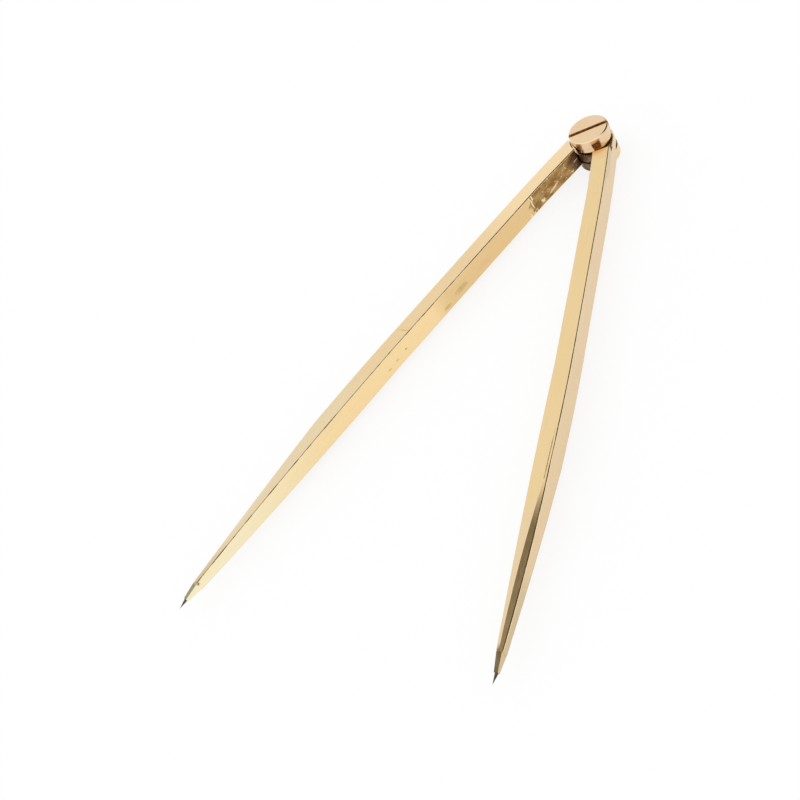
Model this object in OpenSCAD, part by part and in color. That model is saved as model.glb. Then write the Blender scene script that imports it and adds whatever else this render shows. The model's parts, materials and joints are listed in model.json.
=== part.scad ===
// Chart divider: two brass legs with steel points on one slotted pivot screw.
// Millimetres. The origin is on the pivot axis at the base of the screw head, level with
// the front of the legs. +Z points out of the slotted head, and the points lie towards -Y.

/* [Legs] */
// pivot axis to the end of the point, along a leg
leg_len = 160; // [140:1:190]
// angle between the two legs as they stand
open_angle = 32; // [10:0.1:120]
// thickness of a leg from front to back
bar_t = 5.75; // [5.4:0.05:6.4]
// width of a leg along its straight stretch
bar_w = 4.4; // [4.2:0.05:5.4]
// centre line to the inner face along the straight stretch
inner_off = 1.9; // [1.7:0.05:2.4]
// centre line to the inner face where it runs into the hinge
root_off = 1; // [0.6:0.05:1.4]
// pivot axis to the end of the flare of the inner face
root_s = 20; // [12:1:30]
// pivot axis to the start of the inner face's taper
inner_taper_s = 78; // [60:1:95]
// pivot axis to the crown of the outer face's long arc
belly_s = 73; // [55:1:85]
// pivot axis to the crown of the short arc that runs into the hinge
flank_s = 30; // [20:1:40]
// pivot axis to the start of the taper in thickness
face_taper_s = 90; // [65:1:95]
// pivot axis to the start of the flats along the outer edges
flat_s = 104; // [100:1:108]
// fall of those flats along the leg, degrees
flat_slope = 3.6; // [3.3:0.1:3.9]
// fall of those flats across the leg, degrees
flat_tilt = 21; // [17:1:25]

/* [Points] */
// centre line to the point, half the gap between the closed points
point_off = 0.1; // [0.08:0.01:0.2]
// length from the start of the nose to the end of the point
ground_len = 7; // [6:0.1:9]
// length of steel that shows
point_len = 2.6; // [2.2:0.1:4]
// length of steel held in the leg
point_hold = 5; // [4:0.1:6]
// diameter of the steel point
point_d = 0.75; // [0.6:0.05:0.9]
// width of the leg where the nose starts
tip_w = 1.5; // [1.45:0.01:1.7]
// thickness of the leg where the nose starts
tip_t = 2.7; // [2.5:0.05:3]

/* [Hinge] */
// radius of the round hinge leaves
knuckle_r = 5.5; // [5.2:0.05:5.7]
// gap between one leg's shoulder and the other leg's leaf
lap_gap = 0.35; // [0.3:0.05:0.6]
// thickness of the front leaf, which is the right leg's
front_leaf_t = 2.4; // [2.2:0.1:2.7]
// thickness of the rear leaf, which stands behind the back of the legs
rear_leaf_t = 2.6; // [2.4:0.05:3.2]
// thickness of the washer between the leaves
leaf_washer_t = 0.55; // [0.4:0.05:0.7]
// diameter of the washer between the leaves
leaf_washer_d = 9.8; // [8:0.1:10.2]
// thickness of the washer under the head
head_washer_t = 0.5; // [0.3:0.05:0.6]
// diameter of the washer under the head
head_washer_d = 9.2; // [8:0.1:9.8]
// pivot axis to the recess's shoulder across the right leg, along the centre line
recess_s = 7.2; // [7:0.1:8]
// lean of that shoulder, degrees from square
recess_turn = 14; // [0:1:18]

/* [Pivot screw] */
// diameter of the slotted head
head_d = 10.8; // [10.6:0.1:11.4]
// height of the slotted head above the legs
head_h = 2.3; // [2:0.1:3.2]
// chamfer round the top of the head
head_chamfer = 0.25; // [0.1:0.05:0.4]
// diameter of the collar under the head, sunk below the front of the legs
collar_d = 10.2; // [9.6:0.1:10.4]
// height of the collar
collar_h = 1.4; // [1.2:0.05:1.6]
// width of the slot
slot_w = 0.95; // [0.7:0.05:1.3]
// depth of the slot
slot_depth = 1.2; // [0.8:0.1:1.6]
// direction of the slot, degrees from +X
slot_turn = 32; // [0:1:179]
// diameter of the plain shank
shank_d = 4; // [3.8:0.1:4.6]
// diameter of the threaded end
thread_d = 3.2; // [2.8:0.1:3.4]
// diameter of the sunk lock nut
nut_d = 7; // [6:0.1:7.6]
// thickness of the lock nut
nut_t = 1.2; // [1:0.1:1.4]
// width of the slot across the lock nut
nut_slot_w = 0.8; // [0.6:0.05:1]

/* [Fits] */
// radial gap between the shank and what turns or sits on it
run_gap = 0.05; // [0.02:0.01:0.08]
// radial gap of the threads and of the soldered points
thread_gap = 0.02; // [0.01:0.01:0.04]
// radial gap round the lock nut
nut_gap = 0.1; // [0.05:0.01:0.15]
// depth of the nut and screw end below the back face
nut_sink = 0.1; // [0.05:0.05:0.2]

/* [Hidden] */
$fn = 96;
// steps of the three long arcs, which are only a few degrees long
outer_steps = 18;
flank_steps = 8;
face_steps = 12;
// step down from the leg to its nose
nose_step = 0.06;
// brass left round the steel at the end of the nose
nose_wall = 0.07;
// apex of the ground point to the side of the steel
apex_in = 0.06;
// overrun of the cone past the side of the steel
cone_over = 0.03;
// chamfer at the end of the thread
end_chamfer = 0.3;
// depth of the slot across the lock nut
nut_slot_depth = 0.5;
// straight part of a shoulder, as a share of the hinge radius
horn_share = 0.62;
// overrun of cutting shapes
over = 1;

half_t = bar_t / 2;
outer = inner_off + bar_w;
ground_s = leg_len - ground_len;
nose_s = leg_len - point_len;
tip_out = point_off + tip_w;
outer_drop = outer - tip_out;
outer_r = (pow(ground_s - belly_s, 2) + pow(outer_drop, 2)) / (2 * outer_drop);
flank_drop = outer - knuckle_r;
flank_r = (pow(flank_s, 2) + pow(flank_drop, 2)) / (2 * flank_drop);
face_drop = half_t - tip_t / 2;
face_r = (pow(ground_s - face_taper_s, 2) + pow(face_drop, 2)) / (2 * face_drop);
lap_r = knuckle_r + lap_gap;
// straight part of the shoulder, measured from the pivot axis along the leg
horn_s = horn_share * knuckle_r;
point_r = point_d / 2;
point_x = point_off + nose_wall + point_r;
point_lean = atan((nose_wall + apex_in) / point_len);
cone_out = atan((point_d - apex_in + cone_over) / point_len);
cone_in = atan((apex_in + cone_over) / point_len);
shank_r = shank_d / 2;
thread_r = thread_d / 2;
// levels: legs' middle, then from the collar down front leaf, lap, rear leaf and screw end
leg_z = -half_t;
leaf_z = -collar_h - head_washer_t;
lap_z = leaf_z - front_leaf_t;
seat_z = lap_z - leaf_washer_t;
back_z = seat_z - rear_leaf_t;
end_z = back_z + nut_sink;
half_open = open_angle / 2;

// height of an arc's crown above the arc, at a distance from the crown
function arc_fall(r, d) = r - sqrt(pow(r, 2) - pow(d, 2));
// outer edge and front face of a leg, at a distance from the pivot axis
function outer_at(s) = outer - arc_fall(outer_r, s - belly_s);
function flank_at(s) = outer - arc_fall(flank_r, flank_s - s);
function face_at(s) = half_t - arc_fall(face_r, s - face_taper_s);
// evenly spaced distances along a leg
function stations(from_s, to_s, steps) = [for (i = [0:steps]) from_s + (to_s - from_s) * i / steps];

// places a leg's own frame: +X outwards, -Y towards the point
module place_right() {
    rotate([0, 0, half_open])
        children();
}

module place_left() {
    rotate([0, 0, -half_open])
        mirror([1, 0, 0])
            children();
}

// outline of a leg seen from the front, without its nose
module bar_plan() {
    polygon(concat(
        [
            [root_off, 0],
            [inner_off, -root_s],
            [inner_off, -inner_taper_s],
            [point_off, -ground_s]
        ],
        [for (s = stations(ground_s, belly_s, outer_steps)) [outer_at(s), -s]],
        [for (s = stations(flank_s, 0, flank_steps)) [flank_at(s), -s]]
    ));
}

// outline of a leg seen from the side, with its two faces' tapers
module bar_side() {
    polygon(concat(
        [[-half_t, over], [half_t, over]],
        [for (s = stations(face_taper_s, ground_s, face_steps)) [face_at(s), -s]],
        [for (s = stations(ground_s, face_taper_s, face_steps)) [-face_at(s), -s]]
    ));
}

// turns a drawing of a leg's side (thickness, length) upright and spans the width
module from_side(width) {
    rotate([0, -90, 0])
        translate([0, 0, -width])
            linear_extrude(height = 2 * width)
                children();
}

// the narrow brass nose that holds the steel point
module nose() {
    start_s = ground_s - over;
    intersection() {
        translate([0, 0, -half_t])
            linear_extrude(height = bar_t)
                polygon([
                    [point_off + nose_step, -start_s],
                    [point_x - point_r - nose_wall, -nose_s],
                    [point_x + point_r + nose_wall, -nose_s],
                    [tip_out - nose_step, -start_s]
                ]);
        from_side(outer)
            polygon([
                [-tip_t / 2 + nose_step, -start_s],
                [-point_r - nose_wall, -nose_s],
                [point_r + nose_wall, -nose_s],
                [tip_t / 2 - nose_step, -start_s]
            ]);
    }
}

// flat along the front outer edge of a leg, as the block that it cuts away
module edge_flat() {
    cut_w = 2 * bar_w;
    cut_l = leg_len - flat_s;
    translate([outer_at(flat_s), -flat_s, face_at(flat_s)])
        rotate([flat_slope, flat_tilt, 0])
            translate([-cut_w, -cut_l - over, 0])
                cube([2 * cut_w, cut_l + 2 * over, bar_t]);
}

// stands at the end of the nose, +Z along the steel towards the leg
module along_point() {
    translate([point_x, -nose_s, 0])
        rotate([0, 0, -point_lean])
            rotate([-90, 0, 0])
                children();
}

// a leg's bar with its nose, about its middle plane
module bar() {
    difference() {
        union() {
            intersection() {
                translate([0, 0, -half_t])
                    linear_extrude(height = bar_t)
                        bar_plan();
                from_side(2 * outer)
                    bar_side();
            }
            nose();
        }
        edge_flat();
        mirror([0, 0, 1])
            edge_flat();
        along_point()
            translate([0, 0, -over])
                cylinder(r = point_r + thread_gap, h = point_hold + thread_gap + over);
    }
}

// a leg with its round leaf, cut clear of the other leg's leaf
module leg(leaf_z, leaf_t, cut_z, cut_t) {
    difference() {
        union() {
            translate([0, 0, leg_z])
                bar();
            translate([0, 0, leaf_z])
                cylinder(r = knuckle_r, h = leaf_t);
        }
        translate([0, 0, cut_z])
            cylinder(r = lap_r, h = cut_t);
        translate([0, -horn_s, cut_z])
            cube([2 * outer, horn_s + over, cut_t]);
    }
}

// recess across the front of the right leg, as the block that it cuts away
module recess() {
    translate([0, -recess_s, leaf_z])
        rotate([0, 0, recess_turn])
            translate([-2 * outer, 0, 0])
                cube([4 * outer, 2 * outer, over - leaf_z]);
}

// steel needle, ground from one side so that its apex is at the inner edge
module needle() {
    cone_half = (cone_out + cone_in) / 2;
    cone_turn = (cone_out - cone_in) / 2;
    cone_h = point_len + point_hold + over;
    along_point()
        intersection() {
            translate([0, 0, -point_len])
                cylinder(r = point_r, h = point_len + point_hold);
            translate([apex_in - point_r, 0, -point_len])
                rotate([0, cone_turn, 0])
                    cylinder(r1 = 0, r2 = cone_h * tan(cone_half), h = cone_h);
        }
}

module left_leg() {
    color("goldenrod")
        difference() {
            place_left()
                leg(back_z, rear_leaf_t, seat_z, bar_t);
            translate([0, 0, back_z - over])
                cylinder(r = thread_r + thread_gap, h = rear_leaf_t + 2 * over);
            translate([0, 0, back_z - over])
                cylinder(r = nut_d / 2 + nut_gap, h = nut_t + nut_sink + over);
        }
}

module right_leg() {
    color("goldenrod")
        difference() {
            place_right()
                leg(lap_z, front_leaf_t, lap_z - bar_t, bar_t);
            place_right()
                recess();
            translate([0, 0, lap_z - over])
                cylinder(r = shank_r + run_gap, h = front_leaf_t + 2 * over);
        }
}

module left_point() {
    color("dimgray")
        place_left()
            translate([0, 0, leg_z])
                needle();
}

module right_point() {
    color("dimgray")
        place_right()
            translate([0, 0, leg_z])
                needle();
}

// slotted head, collar, plain shank down to the rear leaf, thread through to the nut
module pivot_screw() {
    head_r = head_d / 2;
    collar_r = collar_d / 2;
    color("gold")
        difference() {
            rotate_extrude()
                polygon([
                    [0, head_h],
                    [head_r - head_chamfer, head_h],
                    [head_r, head_h - head_chamfer],
                    [head_r, 0],
                    [collar_r, 0],
                    [collar_r, -collar_h],
                    [shank_r, -collar_h],
                    [shank_r, seat_z],
                    [thread_r, seat_z],
                    [thread_r, end_z + end_chamfer],
                    [thread_r - end_chamfer, end_z],
                    [0, end_z]
                ]);
            rotate([0, 0, slot_turn])
                translate([-head_d, -slot_w / 2, head_h - slot_depth])
                    cube([2 * head_d, slot_w, slot_depth + over]);
        }
}

module washer(d, t) {
    difference() {
        cylinder(r = d / 2, h = t);
        translate([0, 0, -over])
            cylinder(r = shank_r + run_gap, h = t + 2 * over);
    }
}

module head_washer() {
    color("darkgoldenrod")
        translate([0, 0, leaf_z])
            washer(head_washer_d, head_washer_t);
}

module leaf_washer() {
    color("darkgoldenrod")
        translate([0, 0, seat_z])
            washer(leaf_washer_d, leaf_washer_t);
}

module lock_nut() {
    color("gold")
        translate([0, 0, end_z])
            difference() {
                cylinder(r = nut_d / 2, h = nut_t);
                translate([0, 0, -over])
                    cylinder(r = thread_r + thread_gap, h = nut_t + 2 * over);
                translate([-nut_d, -nut_slot_w / 2, -over])
                    cube([2 * nut_d, nut_slot_w, nut_slot_depth + over]);
            }
}

left_leg();
right_leg();
left_point();
right_point();
pivot_screw();
head_washer();
leaf_washer();
lock_nut();
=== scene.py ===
"""Brass chart divider: the looks of its pieces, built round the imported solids.

Lengths are metres in the solids' own frame. The origin lies on the pivot axis at the base of the
screw head, level with the front of the legs. +Z points out of the slotted head, and the points of
the legs lie towards -Y.
A leg's own frame has its outer side towards +X and its point towards -Y, in millimetres.
"""

import json
import logging
import math
from dataclasses import dataclass
from enum import Enum, IntEnum
from typing import Any, Callable, Mapping, Optional, Sequence, Union

import bmesh
import bpy
from mathutils import Matrix, Quaternion, Vector

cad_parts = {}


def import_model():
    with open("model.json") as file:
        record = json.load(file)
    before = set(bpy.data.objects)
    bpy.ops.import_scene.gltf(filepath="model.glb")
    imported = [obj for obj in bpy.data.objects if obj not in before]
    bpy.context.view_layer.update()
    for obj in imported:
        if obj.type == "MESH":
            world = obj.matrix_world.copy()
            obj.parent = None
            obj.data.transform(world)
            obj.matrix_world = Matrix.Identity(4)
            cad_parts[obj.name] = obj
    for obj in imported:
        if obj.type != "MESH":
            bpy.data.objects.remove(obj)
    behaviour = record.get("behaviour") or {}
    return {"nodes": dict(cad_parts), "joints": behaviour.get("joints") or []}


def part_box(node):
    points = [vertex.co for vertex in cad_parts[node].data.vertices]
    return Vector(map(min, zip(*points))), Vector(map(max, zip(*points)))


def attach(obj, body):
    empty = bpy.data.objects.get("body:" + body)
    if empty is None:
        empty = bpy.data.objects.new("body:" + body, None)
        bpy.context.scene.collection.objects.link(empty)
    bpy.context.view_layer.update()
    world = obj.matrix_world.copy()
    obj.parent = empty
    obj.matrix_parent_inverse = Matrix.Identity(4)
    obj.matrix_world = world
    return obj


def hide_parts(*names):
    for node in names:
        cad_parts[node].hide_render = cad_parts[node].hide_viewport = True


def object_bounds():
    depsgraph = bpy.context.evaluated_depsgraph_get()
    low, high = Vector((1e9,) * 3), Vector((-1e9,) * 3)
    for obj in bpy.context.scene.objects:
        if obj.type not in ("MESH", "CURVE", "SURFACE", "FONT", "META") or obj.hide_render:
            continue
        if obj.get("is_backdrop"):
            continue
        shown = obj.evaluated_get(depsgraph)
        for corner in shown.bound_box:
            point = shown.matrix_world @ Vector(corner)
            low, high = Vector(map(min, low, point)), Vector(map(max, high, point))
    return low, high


LOG = logging.getLogger("chart_divider")
MM = 0.001
PER_MM = 1000.0
# widest gap between vertices of a solid's loose triangles that still belong together
MERGE_GAP = 2e-6
# facets that turn by less than this lie in one plane
ONE_PLANE = math.radians(0.08)

# a face belongs to a side of a leg if its normal lies within this of the side's direction
ONE_SIDE = math.cos(math.radians(14.0))

# a face stands upright if its normal's Z is below this, and lies level if it is above the next
UPRIGHT = 0.3
LEVEL = 0.9

# a face is square to a direction if its normal's share along it is above this
SQUARE = 0.95

# an edge runs along a leg if this share of its length does
ALONG = 0.9

# edges that turn by more than this stay crisp, and by more than the next may be rounded
CRISP = math.radians(14.0)
CORNER = math.radians(40.0)

# material slot that a rounding gives its faces, and how far large faces decide the shading beside it
ROUNDED = 1
FLAT_WEIGHT = 90

# most of a random pattern lies in this span
NOISE_SPAN = (0.3, 0.7)

# gap that keeps the floor clear of the lowest face
FLOOR_GAP = 0.02 * MM

Colour = tuple[float, float, float]
Span = tuple[float, float]
Socket = bpy.types.NodeSocket
Number = Union[float, Socket]
Paint = Union[Colour, Socket]

WHITE: Colour = (1.0, 1.0, 1.0)
# near-black brass: painted shade in the gaps between the hinge's parts
SHADE_DARK: Colour = (0.05, 0.03, 0.015)
SHADE_LIGHT: Colour = (0.13, 0.08, 0.035)


class Side(Enum):
    """The two legs, by the side of the hinge they stand on."""

    LEFT = "left"
    RIGHT = "right"

    @property
    def sign(self) -> float:
        """Sign of X on this leg's outer side."""
        return 1.0 if self is Side.RIGHT else -1.0


class LegFace(Enum):
    """A side of a leg, by the face attribute that is 1 there."""

    FRONT = "front_face"
    FLAT = "flat_face"
    INNER = "inner_face"
    OUTER = "outer_face"

    @property
    def out(self) -> Vector:
        """Direction that this side looks in, in the leg's frame."""
        ways = {
            LegFace.FRONT: (0.0, 0.0, 1.0),
            LegFace.FLAT: (0.358, -0.059, 0.932),
            LegFace.INNER: (-1.0, 0.0, 0.0),
            LegFace.OUTER: (1.0, 0.0, 0.0),
        }
        return Vector(ways[self])


class LineEdge(Enum):
    """A long edge of a leg that can carry a line, by the signs of X and Z in the leg's frame."""

    FRONT_INNER = (-1.0, 1.0)
    FRONT_OUTER = (1.0, 1.0)
    BACK_OUTER = (1.0, -1.0)


class LegSlot(IntEnum):
    """The material slots of a leg."""

    # LINE carries a painted dark reflection, HIGHLIGHT a painted highlight, and HINGE, SHOULDER and LAP
    # painted shade
    BRASS = 0
    LINE = 1
    HINGE = 2
    HIGHLIGHT = 3
    SHOULDER = 4
    LAP = 5


class TurnedSlot(IntEnum):
    """The material slots of the screw and the nut."""

    # SLOT carries painted shade and RIM a painted highlight
    BRASS = 0
    SLOT = 1
    RIM = 2


@dataclass(frozen=True)
class Grain:
    """A random pattern: features per millimetre, how fine and rough it is, how it is squeezed,
    the span of its values that is spread out, and the most that the spread gives.
    """

    per_mm: float
    detail: float = 3.0
    rough: float = 0.5
    squeeze: Optional[tuple[float, float, float]] = None
    span: Span = NOISE_SPAN
    share: float = 1.0


class NodeGraph:
    """Adds nodes to a node tree and joins their sockets."""

    def __init__(self, tree: bpy.types.NodeTree) -> None:
        """Starts on an emptied tree.

        Args:
            tree: The node tree to fill.
        """
        tree.nodes.clear()
        self.tree = tree

    def add(self, kind: str, inputs: Optional[Mapping[Any, Any]] = None, **settings: Any) -> bpy.types.Node:
        """Adds one node.

        Args:
            kind: The node's type name.
            inputs: Values or sockets for its inputs, by name or number.
            **settings: Properties of the node itself.

        Returns:
            The new node.
        """
        node = self.tree.nodes.new(kind)
        for name, value in settings.items():
            setattr(node, name, value)
        for key, value in (inputs or {}).items():
            self.feed(node.inputs[key], value)
        return node

    def feed(self, socket: Socket, value: Any) -> None:
        """Sets a socket to a value, or links it to another socket.

        Args:
            socket: The input to feed.
            value: A socket to link, or a plain value.
        """
        if isinstance(value, bpy.types.NodeSocket):
            self.tree.links.new(value, socket)
        elif socket.type == "RGBA":
            socket.default_value = (*value, 1.0)
        else:
            socket.default_value = value

    def math(self, operation: str, first: Number, second: Number = 0.0) -> Socket:
        """Gives the result of a sum on two numbers."""
        return self.add("ShaderNodeMath", {0: first, 1: second}, operation=operation).outputs[0]

    def mapped(self, vector: Socket, scale: Sequence[float], turn: float = 0.0) -> Socket:
        """Scales a vector, then turns it about Z."""
        inputs = {"Vector": vector, "Scale": scale, "Rotation": (0.0, 0.0, turn)}
        return self.add("ShaderNodeMapping", inputs).outputs[0]

    def vector(self, operation: str, *values: Any) -> Socket:
        """Gives the result of a sum on vectors.

        Args:
            operation: The sum's name.
            *values: One or two vectors or sockets.

        Returns:
            A number for a length or a dot product, and otherwise a vector.
        """
        node = self.add("ShaderNodeVectorMath", dict(enumerate(values)), operation=operation)
        return node.outputs["Value" if operation in ("LENGTH", "DOT_PRODUCT") else "Vector"]

    def place(self) -> Socket:
        """Gives the place on the piece, in millimetres."""
        spot = self.add("ShaderNodeTexCoord").outputs["Object"]
        return self.mapped(spot, (PER_MM, PER_MM, PER_MM))

    def grain(self, place: Socket, grain: Grain) -> Socket:
        """Gives a random pattern at a place in millimetres.

        Args:
            place: The place.
            grain: The pattern's sizes.

        Returns:
            A number, mostly within NOISE_SPAN.
        """
        if grain.squeeze is not None:
            place = self.mapped(place, grain.squeeze)
        inputs = {"Vector": place, "Scale": grain.per_mm, "Detail": grain.detail, "Roughness": grain.rough}
        return self.add("ShaderNodeTexNoise", inputs).outputs[0]

    def flecks(self, place: Socket, grain: Grain) -> Socket:
        """Gives a random pattern's span, spread from 0 to the grain's share."""
        return self.spread(self.grain(place, grain), *grain.span, 0.0, grain.share)

    def wander(self, place: Socket, grain: Grain) -> Socket:
        """Gives a random pattern's span, spread to both sides of 0 by the grain's share."""
        return self.spread(self.grain(place, grain), *grain.span, -grain.share, grain.share)

    def spread(
        self, value: Number, low: float, high: float, to_low: float = 0.0, to_high: float = 1.0
    ) -> Socket:
        """Maps low to high onto another range, with soft ends.

        Args:
            value: The number to map.
            low: The value that becomes to_low.
            high: The value that becomes to_high.
            to_low: The result at and beyond low.
            to_high: The result at and beyond high.

        Returns:
            The mapped number.
        """
        inputs = {"Value": value, "From Min": low, "From Max": high, "To Min": to_low, "To Max": to_high}
        return self.add("ShaderNodeMapRange", inputs, interpolation_type="SMOOTHSTEP").outputs[0]

    def blend(self, share: Number, first: Paint, second: Paint) -> Socket:
        """Mixes two colours.

        Args:
            share: 0 for all of the first and 1 for all of the second.
            first: One colour.
            second: The other colour.

        Returns:
            The mixed colour.
        """
        node = self.add("ShaderNodeMix", data_type="RGBA")
        self.feed(node.inputs[0], share)
        self.feed(node.inputs[6], first)
        self.feed(node.inputs[7], second)
        return node.outputs[2]

    def between(self, share: Number, first: Number, second: Number) -> Socket:
        """Mixes two numbers, all of the second at a share of 1."""
        node = self.add("ShaderNodeMix", {0: share, 2: first, 3: second}, data_type="FLOAT")
        return node.outputs[0]

    def bump(
        self, height: Socket, depth: float, under: Optional[Socket] = None, share: Number = 1.0
    ) -> Socket:
        """Gives a normal bent by a height pattern.

        Args:
            height: The pattern, from 0 to 1.
            depth: Metres between its lowest and highest level.
            under: The normal that this one is laid over.
            share: Strength of the bump.

        Returns:
            The bent normal.
        """
        inputs: dict[str, Any] = {"Height": height, "Distance": depth, "Strength": share}
        if under is not None:
            inputs["Normal"] = under
        return self.add("ShaderNodeBump", inputs).outputs[0]

    def metal(self, colour: Socket, roughness: Socket, normal: Socket) -> None:
        """Ends a material's tree in a bare metal surface.

        Args:
            colour: The metal's colour.
            roughness: Its roughness.
            normal: Its normal.
        """
        inputs = {"Base Color": colour, "Metallic": 1.0, "Roughness": roughness, "Normal": normal}
        surface = self.add("ShaderNodeBsdfPrincipled", inputs)
        self.add("ShaderNodeOutputMaterial", {"Surface": surface.outputs[0]})


def new_material(name: str) -> tuple[bpy.types.Material, NodeGraph]:
    """Makes an empty node material.

    Args:
        name: The material's name.

    Returns:
        The material and the graph to fill.
    """
    material = bpy.data.materials.new(name)
    material.use_nodes = True
    return material, NodeGraph(material.node_tree)


@dataclass(frozen=True)
class Mark:
    """A spot or streak on one side of a leg, in the leg's frame in millimetres: tarnish and wear, and also
    painted highlights, reflections and shade.
    """

    face: LegFace
    centre: tuple[float, float, float]
    reach: tuple[float, float, float]
    colour: Colour
    share: float = 0.8
    turn: tuple[float, float, float] = (0.0, 0.0, 0.0)
    edge: Grain = Grain(2.5, share=0.3)
    core: float = 0.5

    def over(self, graph: NodeGraph, place: Socket, side: Socket, colour: Socket) -> Socket:
        """Lays the mark over a colour, with a soft, ragged edge.

        Args:
            graph: The tree to add to.
            place: The place on the leg in millimetres.
            side: 1 on the side of the leg that the mark is on, and 0 elsewhere.
            colour: The colour below the mark.

        Returns:
            The colour with the mark on it.
        """
        offset = graph.vector("SUBTRACT", place, self.centre)
        turned = graph.add("ShaderNodeMapping", {"Vector": offset, "Rotation": self.turn}).outputs[0]
        away = graph.vector("LENGTH", graph.vector("DIVIDE", turned, self.reach))
        ragged = graph.math("ADD", away, graph.wander(place, self.edge))
        inside = graph.spread(ragged, 1.0, self.core, 0.0, self.share)
        return graph.blend(graph.math("MULTIPLY", side, inside), colour, self.colour)


@dataclass(frozen=True)
class Tint:
    """A stretch of one side of a leg painted lighter or darker as light and shade fall on it, in millimetres
    from the pivot axis.
    """

    face: LegFace
    colour: Colour
    start_s: float
    fade: float = 8.0


@dataclass(frozen=True)
class CastSkin:
    """The brown, pitted stretch of a leg's inner face that the file never reached, with painted shade
    deepening towards the crotch.
    """

    end_s: float = 25.0
    fade: float = 0.8
    shade_s: float = 8.0
    shade_fade: float = 2.4
    shade_share: float = 0.9
    ridge_s: float = 22.6
    brown: Colour = (0.30, 0.165, 0.05)
    tan: Colour = (0.52, 0.33, 0.125)
    copper: Colour = (0.66, 0.33, 0.16)
    shade: Colour = (0.08, 0.04, 0.03)
    ridge: Colour = (1.0, 0.86, 0.52)
    roughness: float = 0.38
    edge: Grain = Grain(0.5, 4.0, share=1.2)
    blotches: Grain = Grain(0.6, 6.0, 0.6, (1.0, 0.5, 1.0), (0.38, 0.62))
    pits: Grain = Grain(1.5, 5.0, 0.7, (1.0, 0.7, 1.0))
    pit_depth: float = 0.00012
    patches: Grain = Grain(0.45, 2.0, span=(0.6, 0.66), share=0.7)
    bars: Grain = Grain(1.0, 2.0, squeeze=(0.3, 1.6, 0.3), span=(0.42, 0.58))
    flecks: Grain = Grain(1.1, 3.0, 0.6, span=(0.63, 0.68), share=0.8)

    def over(
        self,
        graph: NodeGraph,
        place: Socket,
        along: Socket,
        inner: Socket,
        bare: tuple[Socket, Socket, Socket],
    ) -> tuple[Socket, Socket, Socket]:
        """Lays the pitted skin over the start of the inner face.

        Args:
            graph: The tree to add to.
            place: The place on the leg in millimetres.
            along: Millimetres from the pivot axis along the leg.
            inner: 1 on the inner face and 0 elsewhere.
            bare: Colour, roughness and normal of the brass below the skin.

        Returns:
            The colour, roughness and normal with the skin on them.
        """
        colour, roughness, normal = bare
        ragged = graph.math("ADD", along, graph.wander(place, self.edge))
        reach = graph.spread(ragged, self.end_s + self.fade, self.end_s - self.fade)
        share = graph.math("MULTIPLY", inner, reach)
        brown = graph.blend(graph.flecks(place, self.blotches), self.brown, self.tan)
        brown = graph.blend(graph.flecks(place, self.patches), brown, self.copper)
        beyond = graph.spread(ragged, self.ridge_s, self.ridge_s + self.fade)
        bars = graph.flecks(place, self.bars)
        brown = graph.blend(graph.math("MULTIPLY", beyond, bars), brown, self.ridge)
        # painted shade, deepest next to the crotch
        shade_ends = (self.shade_s + self.shade_fade, self.shade_s - self.shade_fade)
        brown = graph.blend(graph.spread(ragged, *shade_ends, 0.0, self.shade_share), brown, self.shade)
        brown = graph.blend(graph.flecks(place, self.flecks), brown, self.ridge)
        colour = graph.blend(share, colour, brown)
        roughness = graph.between(share, roughness, self.roughness)
        return colour, roughness, graph.bump(graph.grain(place, self.pits), self.pit_depth, normal, share)


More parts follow.
